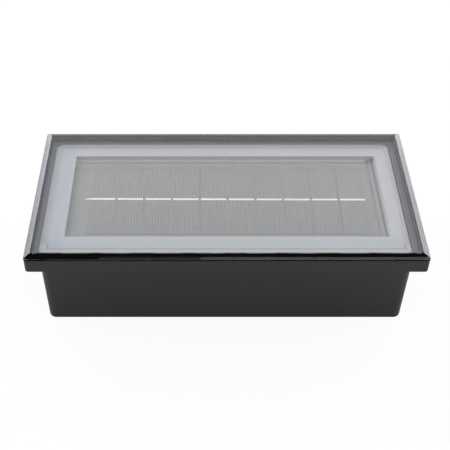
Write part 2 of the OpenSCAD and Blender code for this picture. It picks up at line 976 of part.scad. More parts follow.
module panel_leads() {
    rising_leads(panel_socket, [panel_socket[0], panel_socket[1], panel_z], lead_spacing);
}

module led_leads() {
    rising_leads(led_socket, [led_lead_x, long_row_y, channel_z], led_hole_d - lead_spacing);
}

// Slide switch under the control board, reached through the port

module switch_shell() {
    slot_l = lever_w + switch_travel + 2 * lever_fit;
    slot_w = lever_w + 2 * lever_fit;
    color([0.75, 0.76, 0.78])
        translate([port_x, 0, pcb_z - shell_h])
            difference() {
                translate([-shell_l / 2, -shell_w / 2, 0])
                    cube([shell_l, shell_w, shell_h]);
                translate([-shell_l / 2 + shell_wall, -shell_w / 2 + shell_wall, shell_wall])
                    cube([shell_l - 2 * shell_wall, shell_w - 2 * shell_wall,
                        carriage_h + 2 * lever_fit]);
                translate([-slot_l / 2, -slot_w / 2, -1])
                    cube([slot_l, slot_w, shell_wall + 2]);
            }
}

// Drawn in its off position, at the end of the slot nearer the battery
module switch_lever() {
    carriage_w = shell_w - 2 * shell_wall - 2 * lever_fit;
    color([0.12, 0.12, 0.12])
        translate([port_x - switch_travel / 2, 0, pcb_z - shell_h]) {
            translate([-carriage_l / 2, -carriage_w / 2, shell_wall + lever_fit])
                cube([carriage_l, carriage_w, carriage_h]);
            translate([-lever_w / 2, -lever_w / 2, -lever_drop])
                cube([lever_w, lever_w, lever_drop + shell_wall + 2 * lever_fit]);
        }
}

module port_plug() {
    rim_l = port_l + 2 * plug_edge - 2 * plug_fit;
    rim_w = port_w + 2 * plug_edge - 2 * plug_fit;
    stem_l = port_l - 2 * plug_fit;
    stem_w = port_w - 2 * plug_fit;
    color([0.05, 0.05, 0.05])
        translate([port_x, 0, plug_sink]) {
            plate(rim_l, rim_w, port_r + plug_edge - plug_fit, plug_t);
            translate([0, 0, plug_t - eps])
                ring(stem_l, stem_w, port_r - plug_fit, plug_stem_t, plug_stem_h + plug_play);
        }
}

// Lithium cell, its contacts and leads

module battery_cell() {
    can_l = battery_l - nub_h;
    can_r = battery_d / 2;
    edge = 0.8;
    groove_z = can_l - 2;
    groove_r = can_r - 0.5;
    groove_w = 0.6;
    color([0.1, 0.35, 0.55])
        translate([battery_left, 0, battery_z])
            rotate([0, 90, 0])
                rotate_extrude()
                    polygon([
                        [0, 0], [can_r - edge, 0], [can_r, edge],
                        [can_r, groove_z - groove_w], [groove_r, groove_z],
                        [can_r, groove_z + groove_w], [can_r - edge, can_l],
                        [nub_d / 2, can_l], [nub_d / 2, battery_l], [0, battery_l]
                    ]);
}

module contact_plate_plus() {
    color([0.8, 0.8, 0.78])
        translate([battery_x + bay_l / 2 - contact_t, 0, battery_z]) {
            translate([0, -contact_w / 2, -contact_h / 2])
                cube([contact_t, contact_w, contact_h]);
            translate([eps, 0, 0])
                rotate([0, -90, 0])
                    cylinder(d1 = 5, d2 = 3, h = contact_dimple_h);
        }
}

module contact_plate_minus() {
    color([0.8, 0.8, 0.78])
        translate([battery_x - bay_l / 2, -contact_w / 2, battery_z - contact_h / 2])
            cube([contact_t, contact_w, contact_h]);
}

module contact_spring() {
    wire = 0.8;
    turns = 4;
    rings = 20;
    wide_r = 5;
    narrow_r = 3;
    room = battery_left - (battery_x - bay_l / 2 + contact_t) - wire - 2 * squeeze;
    coil = [for (i = [0:turns * rings])
        let (k = i / (turns * rings), r = wide_r + (narrow_r - wide_r) * k, a = 360 * turns * k)
        [k * room, r * cos(a), r * sin(a)]];
    color([0.8, 0.8, 0.78])
        translate([battery_x - bay_l / 2 + contact_t + wire / 2 + squeeze, 0, battery_z])
            tube(coil, wire, 6, [1, 0, 0]);
}

// One lead goes straight over to the socket, the other round the front of the bay
module battery_leads() {
    along = [lead_stub, 0, 0];
    up = [0, 0, lead_stub];
    over = [0, -lead_stub, 3 * lead_stub];
    plus = [battery_x + bay_l / 2, 0, contact_lead_z];
    minus = [battery_x - bay_l / 2, 0, contact_lead_z];
    front_y = -bay_w / 2 - bay_wall - lead_stub;
    plus_pin = [battery_socket[0] - lead_spacing / 2, battery_socket[1], socket_top - lead_seat];
    minus_pin = plus_pin + [lead_spacing, 0, 0];
    color([0.1, 0.1, 0.1]) {
        tube(route([
            plus, plus + along, plus + 2 * along,
            plus_pin + over, plus_pin + 2 * up, plus_pin + up, plus_pin
        ], lead_steps), lead_d, lead_sides, [0, 1, 0.1]);
        tube(route([
            minus, minus - along, minus - 2 * along,
            minus - 2 * along + [0, front_y / 2, 0],
            minus - along + [0, front_y, 0],
            [battery_x, front_y, contact_lead_z],
            plus + [0, front_y, 0],
            minus_pin + over - [0, lead_stub, 0], minus_pin + 2 * up, minus_pin + up, minus_pin
        ], lead_steps), lead_d, lead_sides, [-0.5, 0.5, 0.7]);
    }
}

// Door of the battery bay, its seal and screws

module battery_door() {
    spigot_l = bay_l - 2 * spigot_fit;
    spigot_w = bay_w - 2 * spigot_fit;
    pad_h = ledge_z - door_top - squeeze;
    color([0.1, 0.1, 0.105])
        translate([battery_x, 0, 0])
            difference() {
                union() {
                    translate([0, 0, door_sink])
                        plate(door_l - 2 * door_fit, door_w - 2 * door_fit, door_r - door_fit,
                            door_t);
                    translate([0, 0, door_top - eps]) {
                        ring(spigot_l, spigot_w, bay_r - spigot_fit, spigot_t, spigot_h);
                        four(door_screw_x, door_screw_y)
                            cylinder(d = door_pad_d, h = pad_h);
                    }
                    door_cradles(spigot_w - 2 * spigot_t + 1);
                }
                four(door_screw_x, door_screw_y) {
                    translate([0, 0, -1])
                        cylinder(d = door_screw_d + 4 * screw_clear, h = ledge_z + 2);
                    translate([0, 0, -1])
                        cylinder(d = door_head_d + 2 * door_head_fit, h = door_head_z + 1);
                }
            }
}

module door_cradles(w) {
    for (s = [-1, 1])
        translate([battery_left - battery_x + battery_l / 2 + s * cradle_pitch / 2, 0, 0])
            difference() {
                translate([-cradle_t / 2, -w / 2, door_top - eps])
                    cube([cradle_t, w, spigot_h]);
                translate([-cradle_t, 0, battery_z])
                    rotate([0, 90, 0])
                        cylinder(d = battery_d + 2 * battery_fit, h = 2 * cradle_t);
            }
}

module door_seal() {
    color([0.55, 0.12, 0.1])
        translate([battery_x, 0, door_top])
            ring(bay_l + 2 * (seal_w + seal_gap), bay_w + 2 * (seal_w + seal_gap), bay_r + seal_w,
                seal_w, seal_t - squeeze);
}

module door_screws() {
    color("silver")
        translate([battery_x, 0, door_head_z])
            four(door_screw_x, door_screw_y)
                mirror([0, 0, 1])
                    pan_screw(door_screw_d, door_screw_len, door_head_d, door_head_h);
}

housing();
cover();
cover_bond();
light_frame();
carrier();
carrier_screws();
panel_board();
solar_cells();
cell_ribbons();
panel_film();
panel_leads();
led_strip_front();
led_strip_back();
led_strip_left();
led_strip_right();
leds_front();
leds_back();
leds_left();
leds_right();
strip_jumpers();
led_leads();
control_board();
driver_chip();
power_inductor();
capacitors();
chip_resistors();
lead_sockets();
board_screws();
switch_shell();
switch_lever();
port_plug();
battery_cell();
contact_plate_plus();
contact_plate_minus();
contact_spring();
battery_leads();
battery_door();
door_seal();
door_screws();
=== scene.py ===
"""Looks of the recessed solar light: its cover, its finishes and the studio that it stands in.

Metres throughout, in the part's own frame: +X along the light, -Y towards the viewer, +Z up.
"""

import json
import math

import bpy
from mathutils import Matrix, Vector


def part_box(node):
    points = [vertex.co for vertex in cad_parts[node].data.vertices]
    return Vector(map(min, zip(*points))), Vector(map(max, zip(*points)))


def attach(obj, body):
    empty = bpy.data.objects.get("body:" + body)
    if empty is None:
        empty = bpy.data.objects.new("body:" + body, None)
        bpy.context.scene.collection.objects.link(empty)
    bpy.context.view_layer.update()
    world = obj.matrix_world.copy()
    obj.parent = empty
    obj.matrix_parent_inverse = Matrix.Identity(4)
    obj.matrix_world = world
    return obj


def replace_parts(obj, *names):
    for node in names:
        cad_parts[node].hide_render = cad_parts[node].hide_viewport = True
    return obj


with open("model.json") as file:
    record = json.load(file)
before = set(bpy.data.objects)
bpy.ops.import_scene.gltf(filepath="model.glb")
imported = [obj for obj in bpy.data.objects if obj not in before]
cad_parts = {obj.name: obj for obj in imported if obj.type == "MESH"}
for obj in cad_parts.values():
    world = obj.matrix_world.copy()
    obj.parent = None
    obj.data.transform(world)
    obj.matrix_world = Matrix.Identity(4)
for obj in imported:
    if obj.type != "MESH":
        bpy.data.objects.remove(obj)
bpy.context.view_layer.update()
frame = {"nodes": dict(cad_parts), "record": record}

MM = 0.001

# Sizes that the part's source gives
BODY_L = 200 * MM
BODY_W = 100 * MM
BODY_H = 52.4 * MM
COVER_T = 2 * MM
RIM_R = 1.8 * MM
UPSTAND_W = 4 * MM
FRAME_SIZE = (186 * MM, 86 * MM)
FRAME_R = 4.2 * MM
BROW_H = 0.3 * MM
WINDOW_L = 166 * MM
WINDOW_W = 64 * MM
WINDOW_R = 1 * MM

# Finer ones: play between pieces, the dark strip on the cover's edge, the frame's sharper front
# corners
AIR_GAP = 0.02 * MM
EDGE_STRIP = 0.06 * MM
FRAME_FRONT_R = 1.8 * MM

# The frame's outline and its window each stand a little off the middle
FRAME_PLACE = (-0.6 * MM, 0.4 * MM)
WINDOW_PLACE = (0.8 * MM, 1.4 * MM)

# Node trees


class Graph:
    """Short calls for wiring one node tree."""

    def __init__(self, tree):
        self.tree = tree

    def node(self, kind, feeds=None, **settings):
        made = self.tree.nodes.new("ShaderNode" + kind)
        for name, value in settings.items():
            setattr(made, name, value)
        for socket, value in (feeds or {}).items():
            self.feed(made.inputs[socket], value)
        return made

    def feed(self, socket, value):
        if isinstance(value, bpy.types.NodeSocket):
            self.tree.links.new(value, socket)
        else:
            socket.default_value = value

    def math(self, operation, *values, clamp=False):
        made = self.node("Math", operation=operation, use_clamp=clamp)
        for socket, value in zip(made.inputs, values):
            self.feed(socket, value)
        return made.outputs[0]

    def vector(self, operation, *values, **feeds):
        made = self.node("VectorMath", operation=operation)
        for socket, value in zip(made.inputs, values):
            self.feed(socket, value)
        for socket, value in feeds.items():
            self.feed(made.inputs[socket], value)
        return made.outputs["Value" if operation == "DOT_PRODUCT" else "Vector"]

    def span(self, value, low, high, to_low=0.0, to_high=1.0):
        """Value carried from one range to another, eased at both ends."""
        made = self.node("MapRange", interpolation_type="SMOOTHSTEP")
        for socket, item in zip(made.inputs, (value, low, high, to_low, to_high)):
            self.feed(socket, item)
        return made.outputs[0]

    def band(self, value, centre, outer, inner):
        """1 within the inner distance of a centre, fading to 0 at the outer one."""
        off = self.math("ABSOLUTE", self.math("SUBTRACT", value, centre))
        return self.span(off, outer, inner)

    def both(self, first, second):
        """1 only where both masks are."""
        return self.math("MULTIPLY", first, second)

    def noise(self, place, detail=2.0, scale=1.0, rough=0.5):
        feeds = {"Vector": place, "Scale": scale, "Detail": detail, "Roughness": rough}
        return self.node("TexNoise", feeds).outputs["Fac"]

    def mix(self, factor, a, b, mode="MIX"):
        made = self.node("Mix", data_type="RGBA", blend_type=mode)
        for index, value in ((0, factor), (6, a), (7, b)):
            self.feed(made.inputs[index], value)
        return made.outputs[2]

    def parts(self, vector):
        return self.node("SeparateXYZ", {"Vector": vector}).outputs


class Effect(Graph):
    """A shared effect: a node group with named sockets."""

    def __init__(self, name, inputs, outputs):
        super().__init__(bpy.data.node_groups.new(name, "ShaderNodeTree"))
        sockets = self.tree.interface
        for label, kind, value in inputs:
            socket = sockets.new_socket(name=label, in_out="INPUT", socket_type="NodeSocket" + kind)
            if value is not None:
                socket.default_value = value
        for label, kind in outputs:
            sockets.new_socket(name=label, in_out="OUTPUT", socket_type="NodeSocket" + kind)
        self.given = self.tree.nodes.new("NodeGroupInput").outputs
        self.result = self.tree.nodes.new("NodeGroupOutput").inputs

    def put(self, **results):
        for label, socket in results.items():
            self.feed(self.result[label], socket)
        return self.tree


def rgba(colour):
    return (*colour, 1.0)


def grey(value):
    return (value, value, value, 1.0)


def make_tone_drift():
    """Colour that wanders a little from patch to patch, as in any moulding or print."""
    g = Effect(
        "tone_drift",
        [("Place", "Vector", None), ("Colour", "Color", grey(0.5)), ("Amount", "Float", 0.05),
         ("Patch", "Float", 0.02)],
        [("Colour", "Color")],
    )
    place = g.vector("SCALE", g.given["Place"], Scale=g.math("DIVIDE", 1.0, g.given["Patch"]))
    wander = g.math("SUBTRACT", g.noise(place, 3.0), 0.5)
    gain = g.math("MULTIPLY_ADD", g.math("MULTIPLY", wander, g.given["Amount"]), 2.0, 1.0)
    return g.put(Colour=g.vector("SCALE", g.given["Colour"], Scale=gain))


def make_moulded_grain():
    """Height of a fine moulded or cast surface, at two sizes of grain."""
    g = Effect(
        "moulded_grain",
        [("Place", "Vector", None), ("Size", "Float", 0.0002)],
        [("Height", "Float")],
    )
    place = g.vector("SCALE", g.given["Place"], Scale=g.math("DIVIDE", 1.0, g.given["Size"]))
    fine = g.noise(place, 2.0, 1.0)
    broad = g.math("MULTIPLY", g.noise(place, 1.0, 0.22), 0.3)
    return g.put(Height=g.math("ADD", g.math("MULTIPLY", fine, 0.7), broad))


def make_worn_edges():
    """Edges rubbed lighter by handling."""
    g = Effect(
        "worn_edges",
        [("Place", "Vector", None), ("Colour", "Color", grey(0.1)), ("Rubbed", "Color", grey(0.2)),
         ("Radius", "Float", 0.0004), ("Amount", "Float", 0.5)],
        [("Colour", "Color")],
    )
    bevelled = g.node("Bevel", {"Radius": g.given["Radius"]}, samples=4).outputs["Normal"]
    turn = g.vector("DOT_PRODUCT", bevelled, g.node("NewGeometry").outputs["Normal"])
    edge = g.span(g.math("SUBTRACT", 1.0, turn), 0.01, 0.2)
    broken = g.span(g.noise(g.given["Place"], 4.0, 900.0), 0.3, 0.65, 0.25, 1.0)
    mask = g.math("MULTIPLY", g.math("MULTIPLY", edge, broken), g.given["Amount"], clamp=True)
    return g.put(Colour=g.mix(mask, g.given["Colour"], g.given["Rubbed"]))


def make_handling_marks():
    """Roughness with faint wiped streaks and touch marks."""
    g = Effect(
        "handling_marks",
        [("Place", "Vector", None), ("Roughness", "Float", 0.4), ("Spread", "Float", 0.05),
         ("Size", "Float", 0.01)],
        [("Roughness", "Float")],
    )
    place = g.vector("SCALE", g.given["Place"], Scale=g.math("DIVIDE", 1.0, g.given["Size"]))
    streaks = g.noise(g.vector("MULTIPLY", place, (0.35, 1.6, 1.0)), 5.0, 1.0, 0.6)
    touch = g.noise(place, 2.0, 0.4)
    level = g.math("SUBTRACT", g.math("MULTIPLY", g.math("ADD", streaks, touch), 0.5), 0.5)
    swing = g.math("MULTIPLY", level, 4.0)
    rough = g.math("MULTIPLY_ADD", swing, g.given["Spread"], g.given["Roughness"])
    return g.put(Roughness=g.math("MAXIMUM", rough, 0.003))


def make_drawn_lines():
    """Height of the fine lines that rolling and drawing leave on metal."""
    g = Effect(
        "drawn_lines",
        [("Place", "Vector", None), ("Size", "Float", 0.0002)],
        [("Height", "Float")],
    )
    place = g.vector("SCALE", g.given["Place"], Scale=g.math("DIVIDE", 1.0, g.given["Size"]))
    return g.put(Height=g.noise(g.vector("MULTIPLY", place, (0.05, 1.0, 1.0)), 3.0))


def make_copper_tracks():
    """Raised tracks under a board's lacquer: a height and a mask."""
    g = Effect(
        "copper_tracks",
        [("Place", "Vector", None), ("Pitch", "Float", 0.002)],
        [("Height", "Float"), ("Mask", "Float")],
    )
    place = g.vector("SCALE", g.given["Place"], Scale=g.math("DIVIDE", 1.0, g.given["Pitch"]))
    stepped = g.vector("ADD", place, g.vector("FLOOR", g.vector("SCALE", place, Scale=0.23)))
    cells = g.node("TexVoronoi", {"Vector": stepped, "Scale": 0.6}, distance="CHEBYCHEV")
    mask = g.span(g.math("PINGPONG", cells.outputs["Distance"], 0.18), 0.05, 0.12)
    return g.put(Height=mask, Mask=mask)


EFFECTS = {
    "drift": make_tone_drift(),
    "grain": make_moulded_grain(),
    "wear": make_worn_edges(),
    "marks": make_handling_marks(),
    "drawn": make_drawn_lines(),
    "tracks": make_copper_tracks(),
}

# Finishes


class Finish(Graph):
    """One material. Its colour, roughness and bump build up call by call."""

    def __init__(self, name, colour, roughness, **uniform):
        self.material = bpy.data.materials.new(name)
        self.material.use_nodes = True
        super().__init__(self.material.node_tree)
        self.shader = self.tree.nodes["Principled BSDF"]
        self.surface = self.tree.nodes["Material Output"].inputs["Surface"]
        self.place = self.node("TexCoord").outputs["Object"]
        self.colour = rgba(colour)
        self.roughness = roughness
        self.heights = []
        for label, value in uniform.items():
            self.shader.inputs[label.replace("_", " ")].default_value = value

    def effect(self, name, **feeds):
        """The outputs of a shared effect, which is fed with the place and the rest."""
        made = self.node("Group", node_tree=EFFECTS[name])
        self.feed(made.inputs["Place"], self.place)
        for label, value in feeds.items():
            self.feed(made.inputs[label], value)
        return made.outputs

    def tint(self, mask, colour):
        """Another colour wherever the mask is 1."""
        self.colour = self.mix(mask, self.colour, rgba(colour))
        return self

    def shade(self, mask, gain):
        """The colour times a gain wherever the mask is 1."""
        self.colour = self.mix(mask, self.colour, rgba(gain), mode="MULTIPLY")
        return self

    def at(self, axis):
        """Distance along one of the light's axes."""
        return self.parts(self.place)[axis]

    def inset(self):
        """Distance inwards from the light's outer edge."""
        place = self.parts(self.place)
        from_end = self.math("SUBTRACT", BODY_L / 2, self.math("ABSOLUTE", place["X"]))
        from_side = self.math("SUBTRACT", BODY_W / 2, self.math("ABSOLUTE", place["Y"]))
        return self.math("MINIMUM", from_end, from_side)

    def drift(self, amount, patch):
        """Lets the colour wander from patch to patch."""
        self.colour = self.effect("drift", Colour=self.colour, Amount=amount, Patch=patch)["Colour"]
        return self

    def wear(self, rubbed, radius, amount):
        """Rubs the edges to another colour."""
        feeds = {"Colour": self.colour, "Rubbed": rgba(rubbed), "Radius": radius, "Amount": amount}
        self.colour = self.effect("wear", **feeds)["Colour"]
        return self

    def marks(self, spread, size):
        """Varies the roughness with wiped streaks and touch marks."""
        done = self.effect("marks", Roughness=self.roughness, Spread=spread, Size=size)
        self.roughness = done["Roughness"]
        return self

    def grain(self, size, depth):
        """Raises a fine moulded grain."""
        self.heights.append((self.effect("grain", Size=size)["Height"], depth))
        return self

    def drawn(self, size, depth):
        """Raises the fine lines of drawn metal."""
        self.heights.append((self.effect("drawn", Size=size)["Height"], depth))
        return self

    def tracks(self, pitch, depth, tint):
        """Raises a board's tracks and colours them."""
        done = self.effect("tracks", Pitch=pitch)
        self.colour = self.mix(done["Mask"], self.colour, rgba(tint))
        self.heights.append((done["Height"], depth))
        return self

    def finish(self):
        """Wires what has built up into the shader."""
        self.feed(self.shader.inputs["Base Color"], self.colour)
        self.feed(self.shader.inputs["Roughness"], self.roughness)
        normal = None
        for height, depth in self.heights:
            bump = self.node("Bump", {"Height": height, "Distance": depth, "Strength": 1.0})
            if normal is not None:
                self.feed(bump.inputs["Normal"], normal)
            normal = bump.outputs["Normal"]
        if normal is not None:
            self.feed(self.shader.inputs["Normal"], normal)
        return self.material

    def let_lamps_through(self):
        """Light for what lies under a clear piece passes straight through it."""
        path = self.node("LightPath").outputs
        clear = self.node("BsdfTransparent", {"Color": grey(0.93)}).outputs[0]
        shown = self.shader.outputs[0]
        for ray in ("Is Shadow Ray", "Is Diffuse Ray"):
            shown = self.node("MixShader", {0: path[ray], 1: shown, 2: clear}).outputs[0]
        self.feed(self.surface, shown)
        return self


def black_moulding(name, colour):
    """Black plastic with a fine grain, rubbed a little at its edges."""
    f = Finish(name, colour, 0.42, Specular_IOR_Level=0.3)
    f.drift(0.10, 14 * MM).wear((0.04, 0.04, 0.042), 0.35 * MM, 0.3)
    return f.marks(0.05, 9 * MM).grain(0.16 * MM, 0.012 * MM)


def housing_moulding():
    """Black, paler towards the rim: painted shade, darker towards the floor. Its ledge inside is
    painted purple-grey as painted light, seen through the cover. A near-black band runs along its
    top edge.
    """
    f = black_moulding("housing_black", (0.0125, 0.0125, 0.013))
    height, skirt_foot, near_seat, wall_inset = f.at("Z"), 44 * MM, 0.1 * MM, 3.5 * MM
    # painted shade: darker towards the floor, paler up to the skirt's foot
    f.tint(f.math("MULTIPLY", f.span(height, 0.0, skirt_foot), 0.6), (0.035, 0.035, 0.0355))
    # painted light: the black ledge inside, where the frame sits, painted purple-grey
    seat_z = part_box("light_frame")[1].z - BROW_H
    off_seat = f.math("ABSOLUTE", f.math("SUBTRACT", height, seat_z))
    at_seat = f.math("LESS_THAN", off_seat, near_seat)
    inside = f.math("GREATER_THAN", f.inset(), wall_inset)
    f.tint(f.both(at_seat, inside), (0.24, 0.228, 0.275))
    # near-black band along the housing's top edge, under the cover's edge
    top_edge_band = f.span(height, 49.85 * MM, 49.95 * MM)
    return f.tint(top_edge_band, (0.003, 0.003, 0.003)).finish()


def bond_adhesive():
    """Black adhesive that touches the glass. Painted light: bluish along its inner edge, paler on
    the right side, grey behind.
    """
    f = Finish("bond_black", (0.003, 0.003, 0.003), 0.5, Specular_IOR_Level=0.0)
    front_limit = -45.4 * MM
    # painted reflection: the inner edge painted bluish, paler on the right side than on the left
    inner_edge = f.span(f.inset(), 3.0 * MM, 3.7 * MM)
    past_front = f.math("GREATER_THAN", f.at("Y"), front_limit)
    right = f.math("GREATER_THAN", f.at("X"), 0.0)
    painted_reflection = f.mix(right, rgba((0.07, 0.08, 0.115)), rgba((0.135, 0.135, 0.16)))
    f.colour = f.mix(f.both(inner_edge, past_front), f.colour, painted_reflection)
    # painted light: the adhesive painted grey at the back
    behind = f.span(f.at("Y"), 43.5 * MM, 44.5 * MM)
    f.tint(behind, (0.075, 0.075, 0.076))
    return f.drift(0.06, 8 * MM).marks(0.05, 6 * MM).grain(0.3 * MM, 0.004 * MM).finish()


def clear_cover():
    """Polished clear plastic over the whole light."""
    f = Finish("cover_clear", (0.985, 0.99, 0.99), 0.012, IOR=1.49, Transmission_Weight=1.0)
    return f.marks(0.006, 22 * MM).let_lamps_through().finish()


def clear_film():
    """Slightly matt clear film over the cells."""
    f = Finish("film_clear", (0.98, 0.98, 0.97), 0.16, IOR=1.5, Transmission_Weight=1.0)
    return f.marks(0.03, 12 * MM).grain(0.5 * MM, 0.003 * MM).let_lamps_through().finish()


def frosted_moulding():
    """Frosted plastic with painted shade and light: duller in front, darker on the brow at the back
    and sides, on the window's back wall and at the left end, with a painted shadow line and a
    painted highlight strip at the brow in front.
    """
    f = Finish("frosted", (0.575, 0.58, 0.605), 0.5, Specular_IOR_Level=0.3)
    front_limit, back_wall, brow_foot = -36 * MM, 32 * MM, 10.3 * MM
    inset = f.inset()
    # painted shade: the front part duller and bluer
    f.tint(f.span(f.at("Y"), -28 * MM, front_limit), (0.505, 0.542, 0.578))
    past_front = f.math("GREATER_THAN", f.at("Y"), front_limit)
    front = f.math("SUBTRACT", 1.0, past_front)
    # painted shade: the brow strip darker at the back and sides
    brow = f.span(inset, 10.4 * MM, 9.8 * MM)
    f.shade(f.both(brow, past_front), (0.9, 0.9, 0.9))
    # painted shadow: a dark line along the brow's foot in front
    foot_line_shade = f.band(inset, brow_foot, 0.9 * MM, 0.35 * MM)
    f.shade(f.both(foot_line_shade, front), (0.74, 0.74, 0.74))
    # painted highlight: the brow strip paler in front
    brow_front = f.span(inset, 9.9 * MM, 9.5 * MM)
    f.tint(f.both(brow_front, front), (0.575, 0.57, 0.585))
    # painted shade on the window's back wall, below the frame's face
    below_face = f.span(f.at("Z"), 46.95 * MM, 46.6 * MM)
    behind = f.math("GREATER_THAN", f.at("Y"), back_wall)
    f.shade(f.both(below_face, behind), (0.84, 0.84, 0.84))
    # painted shade: the left end darker and bluer
    left_end = f.span(f.at("X"), -80 * MM, -84 * MM)
    f.shade(left_end, (0.89, 0.925, 0.96))
    return f.drift(0.035, 30 * MM).marks(0.05, 12 * MM).grain(0.2 * MM, 0.006 * MM).finish()


def cell_silicon():
    """Grey silicon, painted paler behind as painted light, with fine printed fingers that run from
    front to back.
    """
    f = Finish("cell_silicon", (0.238, 0.238, 0.247), 0.4, Specular_IOR_Level=0.4)
    finger_pitch, front, back = 1.4 * MM, -26 * MM, 28 * MM
    f.drift(0.05, 9 * MM)
    across = f.math("PINGPONG", f.math("DIVIDE", f.at("X"), finger_pitch), 0.5)
    f.tint(f.span(across, 0.3, 0.42), (0.36, 0.36, 0.358))
    # painted light: the cells paler towards the back, darker in front
    gain = f.span(f.at("Y"), front, back, 0.92, 1.05)
    f.colour = f.mix(1.0, f.colour, f.mix(gain, grey(0.0), grey(1.0)), mode="MULTIPLY")
    return f.marks(0.05, 8 * MM).grain(0.12 * MM, 0.004 * MM).finish()


def panel_resin_board():
    """Grey resin board, painted paler behind and on a strip near its right end as painted light.
    The sealant has a painted shadow line where it starts to climb, and is painted paler as it
    rises.
    """
    f = Finish("panel_grey", (0.285, 0.285, 0.292), 0.45)
    # painted light: paler near the window's back wall, palest at the back edge
    back_strip = f.span(f.at("Y"), 26.5 * MM, 31 * MM)
    f.tint(back_strip, (0.52, 0.52, 0.53))
    back_edge = f.span(f.at("Y"), 30.6 * MM, 31.4 * MM)
    f.tint(back_edge, (0.68, 0.68, 0.69))
    # painted light: a paler strip near the right end
    right_strip = f.span(f.at("X"), 78.5 * MM, 79.5 * MM)
    f.tint(right_strip, (0.38, 0.38, 0.385))
    # painted shadow: a dark line where the sealant starts to climb
    climb_foot = f.band(f.at("X"), 82.3 * MM, 0.8 * MM, 0.3 * MM)
    f.tint(climb_foot, (0.17, 0.17, 0.175))
    # painted light: the sealant paler as it rises to the wall
    climb_top = f.span(f.at("Z"), 44.9 * MM, 46.6 * MM)
    f.tint(climb_top, (0.47, 0.475, 0.49))
    return f.drift(0.06, 8 * MM).marks(0.05, 6 * MM).grain(0.4 * MM, 0.004 * MM).finish()


def tinned_ribbon():
    """Tin with a painted highlight down the middle of each ribbon, none at its rims or where the
    first one dives.
    """
    f = Finish("ribbon_tin", (0.40, 0.40, 0.39), 0.34, Metallic=1.0)
    lean, start = -0.006, 0.82 * MM
    # painted highlight: a bright line down each ribbon's middle, past the dive
    middle = f.math("MULTIPLY_ADD", f.at("X"), lean, start)
    highlight_line = f.band(f.at("Y"), middle, 0.85 * MM, 0.5 * MM)
    past_dive = f.span(f.at("X"), -76 * MM, -69 * MM)
    f.tint(f.both(highlight_line, past_dive), (0.97, 0.97, 0.94))
    f.drift(0.08, 3 * MM).marks(0.06, 3 * MM)
    return f.drawn(0.12 * MM, 0.003 * MM).finish()


def led_body():
    """White package whose sunken eye holds yellow phosphor."""
    f = Finish("led_body", (0.86, 0.86, 0.83), 0.35)
    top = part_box("leds_front")[1].z
    below_top = f.span(f.at("Z"), top - 0.18 * MM, top - 0.12 * MM, 1.0, 0.0)
    above_base = f.span(f.at("Z"), top - 0.3 * MM, top - 0.22 * MM)
    f.tint(f.both(below_top, above_base), (0.85, 0.62, 0.12))
    return f.drift(0.05, 1 * MM).marks(0.05, 2 * MM).grain(0.1 * MM, 0.004 * MM).finish()


def plastic(name, colour, rough, grain=0.15, depth=0.006):
    """Plain moulded or coated piece. The grain and its depth are in millimetres."""
    f = Finish(name, colour, rough)
    return f.drift(0.06, 8 * MM).marks(0.05, 6 * MM).grain(grain * MM, depth * MM).finish()


def plated(name, colour, rough):
    """Plated metal with fine drawn lines."""
    f = Finish(name, colour, rough, Metallic=1.0)
    return f.drift(0.08, 3 * MM).marks(0.06, 3 * MM).drawn(0.12 * MM, 0.003 * MM).finish()


def lacquered_board(name, colour, tint):
    """Circuit board whose tracks stand up a little under the lacquer."""
    f = Finish(name, colour, 0.28, Coat_Weight=0.3)
    f.drift(0.05, 10 * MM).tracks(2.2 * MM, 0.03 * MM, tint)
    return f.marks(0.04, 5 * MM).grain(0.2 * MM, 0.003 * MM).finish()


def insulation(name, colour):
    """Soft plastic over a lead."""
    f = Finish(name, colour, 0.38)
    return f.drift(0.08, 4 * MM).marks(0.05, 4 * MM).grain(0.3 * MM, 0.006 * MM).finish()


FINISHES = {
    "housing_black": housing_moulding(),
    "door_black": black_moulding("door_black", (0.014, 0.014, 0.0145)).finish(),
    "cover_clear": clear_cover(),
    "film_clear": clear_film(),
    "frosted": frosted_moulding(),
    "cell_silicon": cell_silicon(),
    "led_body": led_body(),
    "bond_black": bond_adhesive(),
    "panel_grey": panel_resin_board(),
    "carrier_white": plastic("carrier_white", (0.8, 0.8, 0.78), 0.42),
    "strip_white": plastic("strip_white", (0.8, 0.8, 0.78), 0.3, 0.25, 0.004),
    "chip_black": plastic("chip_black", (0.03, 0.03, 0.03), 0.5, 0.08, 0.006),
    "ferrite": plastic("ferrite", (0.05, 0.048, 0.046), 0.62, 0.1, 0.012),
    "capacitor_can": plastic("capacitor_can", (0.03, 0.035, 0.12), 0.3, 0.4, 0.004),
    "socket_cream": plastic("socket_cream", (0.74, 0.71, 0.6), 0.4),
    "lever_black": plastic("lever_black", (0.025, 0.025, 0.025), 0.45),
    "plug_rubber": plastic("plug_rubber", (0.018, 0.018, 0.018), 0.72, 0.25, 0.016),
    "seal_red": plastic("seal_red", (0.3, 0.045, 0.035), 0.6, 0.3, 0.01),
    "battery_sleeve": plastic("battery_sleeve", (0.025, 0.16, 0.34), 0.26, 0.8, 0.006),
    "board_green": lacquered_board("board_green", (0.012, 0.13, 0.05), (0.02, 0.2, 0.08)),
    "ribbon_tin": tinned_ribbon(),
    "screw_steel": plated("screw_steel", (0.6, 0.6, 0.59), 0.3),
    "switch_steel": plated("switch_steel", (0.62, 0.62, 0.63), 0.34),
    "contact_nickel": plated("contact_nickel", (0.7, 0.68, 0.63), 0.28),
    "lead_red": insulation("lead_red", (0.42, 0.02, 0.018)),
    "lead_black": insulation("lead_black", (0.015, 0.015, 0.015)),
}

for part in frame["record"]["subparts"]:
    surfaces = frame["nodes"][part["node"]].data.materials
    surfaces.clear()
    surfaces.append(FINISHES[part["material_slot"]])

# Pieces made here


